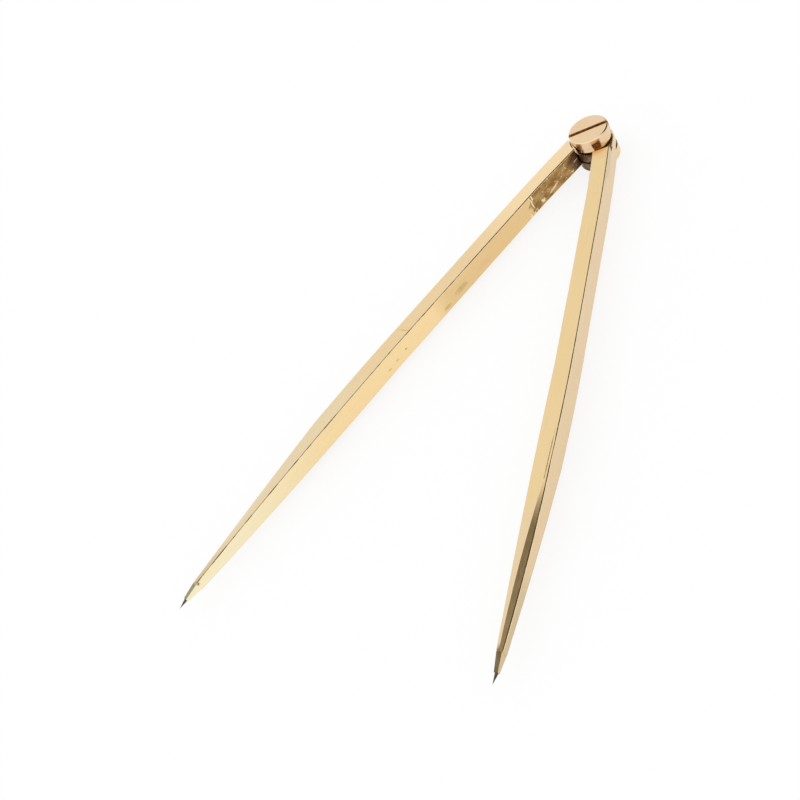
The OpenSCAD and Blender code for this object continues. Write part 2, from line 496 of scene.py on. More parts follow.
@dataclass(frozen=True)
class LegBrass:
    """Polished brass with file strokes along the leg, faint freckles and a few marks, with painted light and
    shade along each side and painted shade beside the gap between the leaves.
    """

    name: str
    side: Side
    half_open: float
    tints: tuple[Tint, ...]
    marks: tuple[Mark, ...]
    skin: Optional[CastSkin] = None
    colour: Colour = (0.83, 0.63, 0.34)
    pale: Colour = (0.86, 0.67, 0.385)
    freckle: Colour = (0.50, 0.34, 0.14)
    # painted shade on the round leaves beside the gap between them
    shade_tone: Colour = SHADE_DARK
    slow: Grain = Grain(0.16, squeeze=(1.0, 0.25, 1.0), span=(0.35, 0.65))
    pale_span: Span = (0.2, 1.0)
    pale_share: float = 0.16
    strokes: Grain = Grain(1.0, 4.0, 0.55, (5.0, 0.12, 5.0))
    stroke_span: Span = (0.5, 0.75)
    stroke_share: float = 0.06
    stroke_depth: float = 0.000002
    freckles: Grain = Grain(1.6, 6.0, 0.7, span=(0.64, 0.75), share=0.4)
    waves: Grain = Grain(0.35, 2.0, squeeze=(1.0, 0.4, 1.0))
    wave_depth: float = 0.00002
    smoothest: float = 0.16
    roughest: float = 0.26
    flat_blend_s: float = 106.0
    flat_clear_s: float = 125.0
    gap_level: float = -4.58
    gap_reach: float = 0.55
    gap_core: float = 0.44
    gap_radius: float = 6.0
    gap_rim: float = 5.7

    def leg_frame(self, graph: NodeGraph) -> Socket:
        """Gives the place on the leg, in its own frame in millimetres."""
        place = graph.add("ShaderNodeTexCoord").outputs["Object"]
        return graph.mapped(place, (self.side.sign * PER_MM, PER_MM, PER_MM), -self.half_open)

    def material(self) -> bpy.types.Material:
        """Builds the material.

        Returns:
            The new material.
        """
        material, graph = new_material(self.name)
        place = self.leg_frame(graph)
        along = graph.math("MULTIPLY", graph.add("ShaderNodeSeparateXYZ", {0: place}).outputs[1], -1.0)
        slow = graph.flecks(place, self.slow)
        strokes = graph.grain(place, self.strokes)
        sides: dict[LegFace, Socket] = {}
        for face in LegFace:
            sides[face] = graph.add("ShaderNodeAttribute", attribute_name=face.value).outputs["Fac"]
        colour = graph.blend(slow, self.colour, self.pale)
        # painted light and shade: each side lighter or darker along the leg as the light falls on it
        for tint in self.tints:
            reach = graph.spread(along, tint.start_s - tint.fade, tint.start_s + tint.fade)
            colour = graph.blend(graph.math("MULTIPLY", sides[tint.face], reach), colour, tint.colour)
        colour = graph.blend(graph.spread(slow, *self.pale_span, 0.0, self.pale_share), colour, self.pale)
        worn_and_lit = graph.spread(strokes, *self.stroke_span, 0.0, self.stroke_share)
        colour = graph.blend(worn_and_lit, colour, self.freckle)
        colour = graph.blend(graph.flecks(place, self.freckles), colour, self.freckle)
        roughness = graph.spread(strokes, *NOISE_SPAN, self.smoothest, self.roughest)
        waves = graph.grain(place, self.waves)
        lean = graph.spread(along, self.flat_clear_s, self.flat_blend_s)
        normal = self.leaning(graph, graph.math("MULTIPLY", sides[LegFace.FLAT], lean))
        normal = graph.bump(waves, self.wave_depth, normal)
        normal = graph.bump(strokes, self.stroke_depth, normal)
        if self.skin is not None:
            bare = (colour, roughness, normal)
            colour, roughness, normal = self.skin.over(graph, place, along, sides[LegFace.INNER], bare)
        for mark in self.marks:
            colour = mark.over(graph, place, sides[mark.face], colour)
        # painted shade beside the gap between the leaves
        colour = graph.blend(self.near_gap(graph, place), colour, self.shade_tone)
        graph.metal(colour, roughness, normal)
        return material

    def near_gap(self, graph: NodeGraph, place: Socket) -> Socket:
        """Gives the share of painted shade, which lies on the round leaves beside the gap between them.

        Args:
            graph: The tree to add to.
            place: The place on the leg in millimetres.

        Returns:
            1 at the gap and 0 away from it.
        """
        parts = graph.add("ShaderNodeSeparateXYZ", {0: place}).outputs
        off = graph.math("ABSOLUTE", graph.math("SUBTRACT", parts[2], self.gap_level))
        level = graph.add("ShaderNodeCombineXYZ", {0: parts[0], 1: parts[1]}).outputs[0]
        away = graph.vector("LENGTH", level)
        near = graph.spread(off, self.gap_reach, self.gap_core)
        return graph.math("MULTIPLY", near, graph.spread(away, self.gap_radius, self.gap_rim))

    @staticmethod
    def leaning(graph: NodeGraph, share: Socket) -> Socket:
        """Gives the face's normal, leaning to the front where a flat runs out into it.

        Args:
            graph: The tree to add to.
            share: How far the normal leans, from 0 to 1.

        Returns:
            The normal.
        """
        own = graph.add("ShaderNodeNewGeometry").outputs["Normal"]
        mixed = graph.add("ShaderNodeMix", {0: share, 4: own, 5: LegFace.FRONT.out}, data_type="VECTOR")
        return graph.vector("NORMALIZE", mixed.outputs[1])


@dataclass(frozen=True)
class EdgeLine:
    """The thin band on a rounded edge or rim painted as light and shade: a painted dark reflection or a
    painted highlight, lighter in places.
    """

    name: str
    # dark: a painted dark reflection along the edge; the lighter colour after it is a painted highlight where
    # the line gives way
    dark: Colour = (0.16, 0.085, 0.02)
    worn_and_lit: Colour = (0.52, 0.36, 0.16)
    lit_from: float = 0.049
    lit_to: float = 0.2
    lit_fade: float = 0.005
    lit_share: float = 0.16
    dull: float = 0.5
    shine: float = 0.3
    breaks: Grain = Grain(0.22, 5.0, 0.65, span=(0.53, 0.66))
    scuffs: Grain = Grain(3.0)
    scuff_depth: float = 0.00001

    def material(self) -> bpy.types.Material:
        """Builds the material.

        Returns:
            The new material.
        """
        material, graph = new_material(self.name)
        spot = graph.add("ShaderNodeTexCoord").outputs["Object"]
        place = graph.mapped(spot, (PER_MM, PER_MM, PER_MM))
        away = graph.vector("LENGTH", spot)
        start = graph.spread(away, self.lit_from - self.lit_fade, self.lit_from + self.lit_fade)
        end = graph.spread(away, self.lit_to + self.lit_fade, self.lit_to - self.lit_fade)
        stretch = graph.math("MULTIPLY", graph.math("MULTIPLY", start, end), self.lit_share)
        breaks = graph.math("ADD", graph.grain(place, self.breaks), stretch)
        breaks = graph.spread(breaks, *self.breaks.span)
        colour = graph.blend(breaks, self.dark, self.worn_and_lit)
        roughness = graph.between(breaks, self.dull, self.shine)
        normal = graph.bump(graph.grain(place, self.scuffs), self.scuff_depth)
        graph.metal(colour, roughness, normal)
        return material


@dataclass(frozen=True)
class TurnedBrass:
    """Brass turned on a lathe: fine rings round the pivot axis and a soft polish."""

    name: str
    colour: Colour = (0.82, 0.605, 0.365)
    pale: Colour = (0.85, 0.63, 0.41)
    tarnish: Colour = (0.46, 0.30, 0.12)
    smoothest: float = 0.13
    roughest: float = 0.24
    rings_per_mm: float = 1.1
    ring_bend: float = 0.6
    ring_detail: float = 2.0
    ring_depth: float = 0.000002
    slow: Grain = Grain(0.35, span=(0.35, 0.65))
    slow_depth: float = 0.00002
    spots: Grain = Grain(1.6, 6.0, 0.7, span=(0.62, 0.74), share=0.5)

    def material(self) -> bpy.types.Material:
        """Builds the material.

        Returns:
            The new material.
        """
        material, graph = new_material(self.name)
        place = graph.place()
        inputs = {
            "Vector": place,
            "Scale": self.rings_per_mm,
            "Distortion": self.ring_bend,
            "Detail": self.ring_detail,
        }
        wave = graph.add("ShaderNodeTexWave", inputs, wave_type="RINGS", rings_direction="Z")
        slow = graph.grain(place, self.slow)
        colour = graph.blend(graph.spread(slow, *self.slow.span), self.colour, self.pale)
        colour = graph.blend(graph.flecks(place, self.spots), colour, self.tarnish)
        roughness = graph.between(slow, self.smoothest, self.roughest)
        normal = graph.bump(slow, self.slow_depth)
        normal = graph.bump(wave.outputs["Fac"], self.ring_depth, normal)
        graph.metal(colour, roughness, normal)
        return material


@dataclass(frozen=True)
class ShadedBrass:
    """Brass painted brown as shade, in slots, behind shoulders, between hinge faces and on the washers."""

    name: str
    dark: Colour
    light: Colour
    smoothest: float = 0.35
    roughest: float = 0.6
    shade_tone: Grain = Grain(0.9, 5.0, 0.65, span=(0.4, 0.68))
    pits: Grain = Grain(2.4, 4.0)
    pit_depth: float = 0.00005

    def material(self) -> bpy.types.Material:
        """Builds the material.

        Returns:
            The new material.
        """
        material, graph = new_material(self.name)
        place = graph.place()
        shade_tone = graph.grain(place, self.shade_tone)
        colour = graph.blend(graph.spread(shade_tone, *self.shade_tone.span), self.dark, self.light)
        roughness = graph.between(shade_tone, self.smoothest, self.roughest)
        graph.metal(colour, roughness, graph.bump(graph.grain(place, self.pits), self.pit_depth))
        return material


@dataclass(frozen=True)
class GroundSteel:
    """Steel ground to a point, given a very dark colour, with fine lines round it."""

    name: str
    colour: Colour = (0.085, 0.075, 0.06)
    bright: Colour = (0.20, 0.18, 0.15)
    smoothest: float = 0.22
    roughest: float = 0.44
    lines: Grain = Grain(1.5, 4.0, squeeze=(0.8, 6.0, 0.8), span=(0.45, 0.7))
    line_depth: float = 0.000004

    def material(self) -> bpy.types.Material:
        """Builds the material.

        Returns:
            The new material.
        """
        material, graph = new_material(self.name)
        lines = graph.grain(graph.place(), self.lines)
        colour = graph.blend(graph.spread(lines, *self.lines.span), self.colour, self.bright)
        roughness = graph.between(lines, self.smoothest, self.roughest)
        graph.metal(colour, roughness, graph.bump(lines, self.line_depth))
        return material


def rounded_copy(
    node: bpy.types.Object,
    name: str,
    edge_round: float,
    steps: int,
    weigh: Callable[[Vector, Vector], float],
    even: bool,
) -> bpy.types.Object:
    """Copies a solid, merges its loose triangles and rounds some of its corners.

    Args:
        node: The solid's object, which is left as it is.
        name: The new piece's name.
        edge_round: Width of the rounding, in metres.
        steps: Faces across the rounding.
        weigh: Gives the share of the rounding that an edge gets, from its two ends.
        even: Whether faces next to a rounding are shaded as flat as the large faces.

    Returns:
        The new piece, with the rounded edges in material slot ROUNDED.
    """
    mesh = bpy.data.meshes.new(name)
    shape = bmesh.new()
    shape.from_mesh(node.data)
    bmesh.ops.remove_doubles(shape, verts=shape.verts, dist=MERGE_GAP)
    bmesh.ops.dissolve_limit(shape, angle_limit=ONE_PLANE, verts=shape.verts, edges=shape.edges)
    ends = {edge: (edge.verts[0].co, edge.verts[1].co) for edge in shape.edges}
    short = [edge for edge in ends if edge.calc_length() < edge_round / 2 and weigh(*ends[edge]) > 0.0]
    bmesh.ops.collapse(shape, edges=short)
    for face in shape.faces:
        face.smooth = True
        face.material_index = 0
    weight = shape.edges.layers.float.new("bevel_weight_edge")
    for edge in shape.edges:
        angle = edge.calc_face_angle(0.0)
        if angle > CORNER:
            edge[weight] = weigh(edge.verts[0].co, edge.verts[1].co)
        edge.smooth = angle < CRISP or edge[weight] > 0.0
    shape.to_mesh(mesh)
    shape.free()
    piece = bpy.data.objects.new(name, mesh)
    bpy.context.scene.collection.objects.link(piece)
    for _ in range(ROUNDED + 1):
        mesh.materials.append(None)
    bevel = piece.modifiers.new("rounded edges", "BEVEL")
    bevel.width = edge_round
    bevel.segments = steps
    bevel.limit_method = "WEIGHT"
    bevel.use_clamp_overlap = False
    bevel.loop_slide = True
    bevel.material = ROUNDED
    if even:
        shading = piece.modifiers.new("flat faces stay flat", "WEIGHTED_NORMAL")
        shading.weight = FLAT_WEIGHT
        shading.keep_sharp = True
    settle(piece)
    return piece


def settle(piece: bpy.types.Object) -> None:
    """Turns a piece with its modifiers into a plain mesh.

    Args:
        piece: The piece, which keeps its name.
    """
    graph = bpy.context.evaluated_depsgraph_get()
    finished = piece.evaluated_get(graph)
    mesh = bpy.data.meshes.new_from_object(finished, preserve_all_data_layers=True, depsgraph=graph)
    mesh.name = piece.name
    piece.modifiers.clear()
    piece.data = mesh


def close_seams(piece: bpy.types.Object) -> None:
    """Merges vertices that lie on each other and points all faces outwards.

    Args:
        piece: The piece to close.
    """
    shape = bmesh.new()
    shape.from_mesh(piece.data)
    bmesh.ops.remove_doubles(shape, verts=shape.verts, dist=MERGE_GAP)
    bmesh.ops.recalc_face_normals(shape, faces=shape.faces)
    shape.to_mesh(piece.data)
    shape.free()


def set_materials(piece: bpy.types.Object, materials: Sequence[bpy.types.Material]) -> None:
    """Gives a piece its materials and keeps its faces' slot numbers.

    Args:
        piece: The piece to dress.
        materials: Its materials, in slot order.
    """
    slots = [face.material_index for face in piece.data.polygons]
    piece.data.materials.clear()
    for material in materials:
        piece.data.materials.append(material)
    for face, slot in zip(piece.data.polygons, slots):
        face.material_index = slot


@dataclass
class Leg:
    """A leg with its hinge leaf, and the steel point soldered into its nose."""

    side: Side
    half_open: float
    brass: LegBrass
    # the line and highlight finishes are a painted dark reflection and a painted highlight on the rounded
    # edges named below
    line: EdgeLine
    polish: EdgeLine
    dark_edges: tuple[LineEdge, ...]
    bright_edges: tuple[LineEdge, ...]
    # painted shade in the crotch, behind the shoulders and on the laps between the leaves
    hinge_brown: ShadedBrass
    shoulder_brown: ShadedBrass
    lap_shade: ShadedBrass
    steel: GroundSteel
    hinge_reach: float = 0.0092
    leaf_radius: float = 0.0055
    leaf_clear: float = 0.0061
    crotch_y: float = -0.0035
    line_end_s: float = 0.1532
    nose_s: float = 0.1525
    flat_start: float = 0.1035
    flat_grown: float = 0.107
    flat_x: float = 0.003
    wedge_share: float = 0.5
    edge_round: float = 0.00024
    edge_steps: int = 3
    line_low: float = 0.15
    line_high: float = 0.98
    line_half: float = 0.5

    @property
    def node(self) -> str:
        """Name of the leg's solid."""
        return f"{self.side.value}_leg"

    def to_leg(self) -> Matrix:
        """Gives the turn from the row's frame to the leg's own, its outer side towards +X."""
        flip = Matrix.Diagonal((self.side.sign, 1.0, 1.0))
        return Matrix.Rotation(-self.half_open, 3, "Z") @ flip

    def build(self, nodes: Mapping[str, bpy.types.Object]) -> bpy.types.Object:
        """Makes the leg and sorts its faces by finish.

        Args:
            nodes: The solids' objects by name.

        Returns:
            The finished leg.
        """
        name = f"{self.side.value}_leg_brass"
        piece = rounded_copy(
            nodes[self.node], name, self.edge_round, self.edge_steps, self.runs_along, even=False
        )
        close_seams(piece)
        self.sort_faces(piece)
        finishes = {
            LegSlot.BRASS: self.brass,
            LegSlot.LINE: self.line,
            LegSlot.HINGE: self.hinge_brown,
            LegSlot.HIGHLIGHT: self.polish,
            LegSlot.SHOULDER: self.shoulder_brown,
            LegSlot.LAP: self.lap_shade,
        }
        set_materials(piece, [finishes[slot].material() for slot in LegSlot])
        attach(piece, self.side.value)
        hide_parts(self.node)
        return piece

    def runs_along(self, first: Vector, second: Vector) -> float:
        """Gives the share of the rounding for an edge between two points.

        Args:
            first: One end of the edge.
            second: Its other end.

        Returns:
            1 for an edge along the leg, less where a flat runs out in a thin wedge, and 0 for other edges.
        """
        to_leg = self.to_leg()
        start = to_leg @ first
        end = to_leg @ second
        inside = -self.line_end_s < min(start.y, end.y) and max(start.y, end.y) < -self.leaf_radius / 2
        if not inside or abs(end.y - start.y) < ALONG * (end - start).length:
            return 0.0
        wedge = self.flat_start < -min(start.y, end.y) and -max(start.y, end.y) < self.flat_grown
        return self.wedge_share if wedge and min(start.x, end.x) > self.flat_x else 1.0

    def sort_faces(self, piece: bpy.types.Object) -> None:
        """Sorts the leg's faces into brass, edge lines, hinge faces and the nose's step, and marks its sides.

        Args:
            piece: The leg, with its rounded edges in material slot ROUNDED.
        """
        to_leg = self.to_leg()
        for side in LegFace:
            layer = piece.data.attributes.new(side.value, "FLOAT", "FACE")
            for face in piece.data.polygons:
                beyond = side is LegFace.FRONT or face.center.xy.length > self.leaf_clear
                looks_out = (to_leg @ face.normal).dot(side.out) > ONE_SIDE
                layer.data[face.index].value = float(beyond and looks_out)
        levels = tuple(corner.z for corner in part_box("leaf_washer"))
        for face in piece.data.polygons:
            edge = face.material_index == ROUNDED
            normal = to_leg @ face.normal
            face.material_index = LegSlot.BRASS
            if edge:
                face.material_index = self.line_slot(normal)
            elif face.center.xy.length < self.hinge_reach:
                face.material_index = self.hinge_slot(face.center, face.normal, levels)
            # the nose's step carries the painted highlight
            elif normal.y < -ONE_SIDE and (to_leg @ face.center).y < -self.nose_s:
                face.material_index = LegSlot.HIGHLIGHT
            round_wall = abs(face.normal.z) < UPRIGHT and face.center.xy.length < self.leaf_clear
            face.use_smooth = edge or round_wall

    def line_slot(self, normal: Vector) -> LegSlot:
        """Gives the material slot of a face on a rounded edge.

        Args:
            normal: The face's normal in the leg's frame.

        Returns:
            The slot of plain brass, of the painted dark line or of the painted highlight line.
        """
        for slot, edges in ((LegSlot.LINE, self.dark_edges), (LegSlot.HIGHLIGHT, self.bright_edges)):
            for edge in edges:
                across, out = edge.value
                lift = normal.z * out
                if self.line_low < lift < self.line_high and normal.x * across > self.line_low:
                    return slot if lift > self.line_half or out < 0.0 else LegSlot.HIGHLIGHT
        return LegSlot.BRASS

    def hinge_slot(self, centre: Vector, normal: Vector, levels: tuple[float, ...]) -> LegSlot:
        """Gives the material slot of a face near the hinge.

        Args:
            centre: The middle of the face.
            normal: The face's normal.
            levels: Lowest and highest level of the washer between the leaves.

        Returns:
            The slot of the shoulders, of the laps, of the leaf's wall in the crotch, or of plain brass; the
            first three carry painted shade.
        """
        upright = abs(normal.z) < UPRIGHT
        if upright and normal.xy.dot(centre.xy) < 0.0:
            return LegSlot.SHOULDER
        if abs(normal.z) > LEVEL and min(abs(centre.z - level) for level in levels) < self.edge_round:
            return LegSlot.LAP
        crotch = upright and centre.y < self.crotch_y and centre.xy.length < self.leaf_radius
        return LegSlot.HINGE if crotch else LegSlot.BRASS

    def dress_point(self, nodes: Mapping[str, bpy.types.Object]) -> bpy.types.Object:
        """Gives the steel point its finish.

        Args:
            nodes: The solids' objects by name.

        Returns:
            The point's own solid.
        """
        point = nodes[f"{self.side.value}_point"]
        set_materials(point, (self.steel.material(),))
        return point


@dataclass
class TurnedRing:
    """A flat washer with broken edges, swept round the pivot axis."""

    node: str
    body: str
    finish: ShadedBrass
    edge_round: float = 0.00008
    round_steps: int = 3
    steps_round: int = 96

    def tree(self) -> bpy.types.NodeTree:
        """Builds the node tree that sweeps a rounded section round the axis.

        Returns:
            The tree, with its sizes as named inputs.
        """
        tree = bpy.data.node_groups.new(f"{self.node}_sweep", "GeometryNodeTree")
        graph = NodeGraph(tree)
        for name in ("Outer radius", "Bore radius", "Thickness", "Middle height", "Edge round"):
            tree.interface.new_socket(name, in_out="INPUT", socket_type="NodeSocketFloat")
        tree.interface.new_socket("Finish", in_out="INPUT", socket_type="NodeSocketMaterial")
        tree.interface.new_socket("Geometry", in_out="OUTPUT", socket_type="NodeSocketGeometry")
        given = graph.add("NodeGroupInput").outputs
        width = graph.math("SUBTRACT", given["Outer radius"], given["Bore radius"])
        across = graph.math("ADD", given["Outer radius"], given["Bore radius"])
        path = graph.add(
            "GeometryNodeCurvePrimitiveCircle",
            {"Resolution": self.steps_round, "Radius": graph.math("MULTIPLY", across, 0.5)},
        )
        section = graph.add(
            "GeometryNodeCurvePrimitiveQuadrilateral",
            {"Width": width, "Height": given["Thickness"]},
        )
        soft = graph.add(
            "GeometryNodeFilletCurve",
            {"Curve": section.outputs[0], "Radius": given["Edge round"], "Count": self.round_steps},
            mode="POLY",
        )
        swept = graph.add(
            "GeometryNodeCurveToMesh", {"Curve": path.outputs[0], "Profile Curve": soft.outputs[0]}
        )
        place = graph.add("ShaderNodeCombineXYZ", {2: given["Middle height"]})
        placed = graph.add(
            "GeometryNodeTransform", {"Geometry": swept.outputs[0], "Translation": place.outputs[0]}
        )
        plain = graph.add("GeometryNodeRealizeInstances", {0: placed.outputs[0]})
        dressed = graph.add(
            "GeometryNodeSetMaterial", {"Geometry": plain.outputs[0], "Material": given["Finish"]}
        )
        graph.add("NodeGroupOutput", {0: dressed.outputs[0]})
        return tree

    def build(self, nodes: Mapping[str, bpy.types.Object]) -> bpy.types.Object:
        """Makes the washer with the sizes of its solid.

        Args:
            nodes: The solids' objects by name.

        Returns:
            The finished washer.
        """
        low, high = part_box(self.node)
        bore = min(vertex.co.xy.length for vertex in nodes[self.node].data.vertices)
        tree = self.tree()
        piece = bpy.data.objects.new(f"{self.node}_ring", bpy.data.meshes.new(f"{self.node}_ring"))
        bpy.context.scene.collection.objects.link(piece)
        sweep = piece.modifiers.new("sweep", "NODES")
        sweep.node_group = tree
        sizes = {
            "Outer radius": high.x,
            "Bore radius": bore,
            "Thickness": high.z - low.z,
            "Middle height": (high.z + low.z) / 2,
            "Edge round": self.edge_round,
            "Finish": self.finish.material(),
        }
        for item in tree.interface.items_tree:
            if item.in_out == "INPUT":
                sweep[item.identifier] = sizes[item.name]
        settle(piece)
        close_seams(piece)
        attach(piece, self.body)
        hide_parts(self.node)
        return piece


@dataclass
class Fastener:
    """A slotted turned piece on the pivot axis: the pivot screw or its lock nut."""

    node: str
    body: str
    brass: TurnedBrass
    # painted shade in the screwdriver slot, and a painted highlight on the rims
    slot_brown: ShadedBrass
    polish: EdgeLine
    slot_turn: float
    slot_width: float
    edge_round: float = 0.00016
    edge_steps: int = 2
    rim_share: float = 0.5
    rim_start: float = 0.85
    rim_low: float = 0.4
    wall_share: float = 0.6
    lip_share: float = 0.7
    floor_share: float = 0.45

    def across(self, place: Vector) -> float:
        """Gives a place's distance from the middle of the slot, square to it."""
        return place.dot(Vector((-math.sin(self.slot_turn), math.cos(self.slot_turn), 0.0)))

    def rim_or_slot(self, first: Vector, second: Vector) -> float:
        """Gives the share of the rounding for an edge between two points.

        Args:
            first: One end of the edge.
            second: Its other end.

        Returns:
            1 along the slot, less on round rims, and 0 for other edges.
        """
        if abs(first.z - second.z) > MERGE_GAP:
            return 0.0
        along_slot = abs(self.across(first - second)) < MERGE_GAP
        if along_slot and abs(self.across(first)) < self.slot_width and self.at_end(first):
            return 1.0
        return self.rim_share if abs(first.xy.length - second.xy.length) < MERGE_GAP else 0.0

    def at_end(self, place: Vector) -> bool:
        """Tells whether a place lies at the top or bottom of the piece."""
        return min(abs(place.z - corner.z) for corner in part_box(self.node)) < MERGE_GAP

    def build(self, nodes: Mapping[str, bpy.types.Object]) -> bpy.types.Object:
        """Makes the piece, with the walls of its slot darkened by painted shade and its rims given a painted
        highlight.

        Args:
            nodes: The solids' objects by name.

        Returns:
            The finished piece.
        """
        name = f"{self.node}_turned"
        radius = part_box(self.node)[1].x
        piece = rounded_copy(
            nodes[self.node], name, self.edge_round, self.edge_steps, self.rim_or_slot, even=True
        )
        for face in piece.data.polygons:
            face.material_index = self.slot_of(face, radius)
        finishes = {
            TurnedSlot.BRASS: self.brass,
            TurnedSlot.SLOT: self.slot_brown,
            TurnedSlot.RIM: self.polish,
        }
        set_materials(piece, [finishes[slot].material() for slot in TurnedSlot])
        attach(piece, self.body)
        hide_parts(self.node)
        return piece

    def slot_of(self, face: bpy.types.MeshPolygon, radius: float) -> TurnedSlot:
        """Gives the material slot of a face.

        Args:
            face: The face.
            radius: The piece's largest radius.

        Returns:
            The slot of the screwdriver slot's faces, of the rounded rims or of plain brass.
        """
        off = abs(self.across(face.center))
        lift = abs(face.normal.z)
        wall = abs(self.across(face.normal)) > SQUARE and off < self.wall_share * self.slot_width
        lip = face.material_index == ROUNDED and off < self.lip_share * self.slot_width
        inside = lift > LEVEL and off < self.floor_share * self.slot_width
        if wall or lip or (inside and not self.at_end(face.center)):
            return TurnedSlot.SLOT
        rim = self.rim_low < lift < SQUARE and face.center.xy.length > self.rim_start * radius
        return TurnedSlot.RIM if rim else TurnedSlot.BRASS


@dataclass
class Studio:
    """The pale floor, the white tent of light round it and the camera."""

    camera_place: Vector
    camera_target: Vector
    camera_roll: float
    lens_mm: float
    floor_level: float
    floor_size: float = 3.0
    hole_direction: Vector = Vector((0.33, 0.78, 0.53))
    hole_inner: float = math.radians(18.0)
    hole_outer: float = math.radians(52.0)
    hole_colour: Colour = (0.06, 0.03, 0.0)
    tent_colour: Colour = WHITE
    shadow_share: float = 0.2
    near_clip: float = 0.01
    far_clip: float = 20.0

    def build(self) -> None:
        """Makes the floor, the light and the camera."""
        self.set_floor()
        self.set_light()
        self.set_camera()

    def set_floor(self) -> None:
        """Lays the floor, white to the camera with a softened shadow."""
        half = self.floor_size / 2
        mesh = bpy.data.meshes.new("floor")
        corners = [(-half, -half), (half, -half), (half, half), (-half, half)]
        mesh.from_pydata([(x, y, self.floor_level) for x, y in corners], [], [range(4)])
        floor = bpy.data.objects.new("floor", mesh)
        bpy.context.scene.collection.objects.link(floor)
        material, graph = new_material("pale_floor")
        paper = graph.add("ShaderNodeBsdfDiffuse", {"Color": WHITE})
        glow = graph.add("ShaderNodeEmission", {"Color": WHITE, "Strength": 1.0})
        path = graph.add("ShaderNodeLightPath").outputs
        seen = graph.math("MAXIMUM", path["Is Camera Ray"], path["Is Glossy Ray"])
        lift = graph.math("MULTIPLY", seen, 1.0 - self.shadow_share)
        surface = graph.add("ShaderNodeMixShader", {0: lift, 1: paper.outputs[0], 2: glow.outputs[0]})
        graph.add("ShaderNodeOutputMaterial", {"Surface": surface.outputs[0]})
        mesh.materials.append(material)
        floor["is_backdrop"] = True

    def set_light(self) -> None:
        """Lights the scene from a white tent with a dark hole overhead, which only metal shows."""
        world = bpy.data.worlds.new("light_tent")
        world.use_nodes = True
        graph = NodeGraph(world.node_tree)
        way = graph.add("ShaderNodeTexCoord").outputs["Generated"]
        hole = tuple(self.hole_direction.normalized())
        facing = graph.vector("DOT_PRODUCT", way, hole)
        inside = graph.spread(facing, math.cos(self.hole_outer), math.cos(self.hole_inner))
        seen = graph.math("MULTIPLY", inside, graph.add("ShaderNodeLightPath").outputs["Is Glossy Ray"])
        light = graph.blend(seen, self.tent_colour, self.hole_colour)
        sky = graph.add("ShaderNodeBackground", {"Color": light, "Strength": 1.0})
        graph.add("ShaderNodeOutputWorld", {"Surface": sky.outputs[0]})
        bpy.context.scene.world = world
        bpy.context.scene.view_settings.view_transform = "Standard"

    def set_camera(self) -> None:
        """Sets the camera at the photograph's place, turned about its own line of sight."""
        data = bpy.data.cameras.new("camera")
        data.lens = self.lens_mm
        data.clip_start = self.near_clip
        data.clip_end = self.far_clip
        camera = bpy.data.objects.new("camera", data)
        sight = self.camera_target - self.camera_place
        level = sight.to_track_quat("-Z", "Y")
        camera.rotation_mode = "QUATERNION"
        camera.rotation_quaternion = level @ Quaternion((0.0, 0.0, 1.0), self.camera_roll)
        camera.location = self.camera_place
        bpy.context.scene.collection.objects.link(camera)
        bpy.context.scene.camera = camera


def left_marks() -> tuple[Mark, ...]:
    """Gives the spots of the left leg: tarnish and wear, painted highlights, and the painted shade of a dent.

    Returns:
        The marks, those on the inner face from the hinge to the nose.
    """
    umber = (0.20, 0.11, 0.04)
    brown = (0.30, 0.17, 0.05)
    olive = (0.55, 0.42, 0.17)
    rose = (0.80, 0.52, 0.29)
    orange = (0.72, 0.30, 0.12)
    # bright: painted highlights on the inner face near the hinge
    bright = (1.0, 0.88, 0.58)
    tilted = (math.radians(-13.0), 0.0, 0.0)
    slanted = (0.0, 0.0, math.radians(15.9))
    return (
        Mark(LegFace.INNER, (1.4, -6.7, -2.9), (1.0, 0.8, 0.35), bright, 0.7),
        Mark(LegFace.INNER, (1.4, -10.3, -4.4), (1.0, 1.3, 0.45), orange, 0.6),
        Mark(LegFace.INNER, (1.7, -16.0, -4.1), (1.0, 2.6, 0.3), bright, 0.7, tilted),
        Mark(LegFace.INNER, (1.9, -20.4, -4.4), (1.0, 0.9, 0.7), bright, 0.8),
        Mark(LegFace.INNER, (1.9, -44.5, -3.6), (1.0, 3.2, 0.9), rose, 0.75),
        Mark(LegFace.INNER, (1.9, -53.5, -3.4), (1.0, 2.8, 1.0), olive, 0.7),
        Mark(LegFace.INNER, (1.9, -59.6, -4.3), (1.0, 1.6, 0.6), olive, 0.7),
        # painted shade of a small dent where the inner face starts to taper
        Mark(LegFace.INNER, (1.9, -75.3, -3.2), (1.0, 0.4, 0.3), brown, 0.8),
        Mark(LegFace.INNER, (1.9, -79.0, -3.6), (1.0, 0.7, 0.25), olive, 0.7),
        Mark(LegFace.INNER, (1.8, -82.1, -3.8), (1.0, 0.7, 0.25), olive, 0.7),
        Mark(LegFace.FRONT, (3.5, -72.4, 0.0), (2.2, 0.2, 0.5), olive, 0.7, slanted),
        Mark(LegFace.INNER, (0.1, -152.9, -2.1), (1.0, 0.6, 0.45), umber, 0.85),
    )


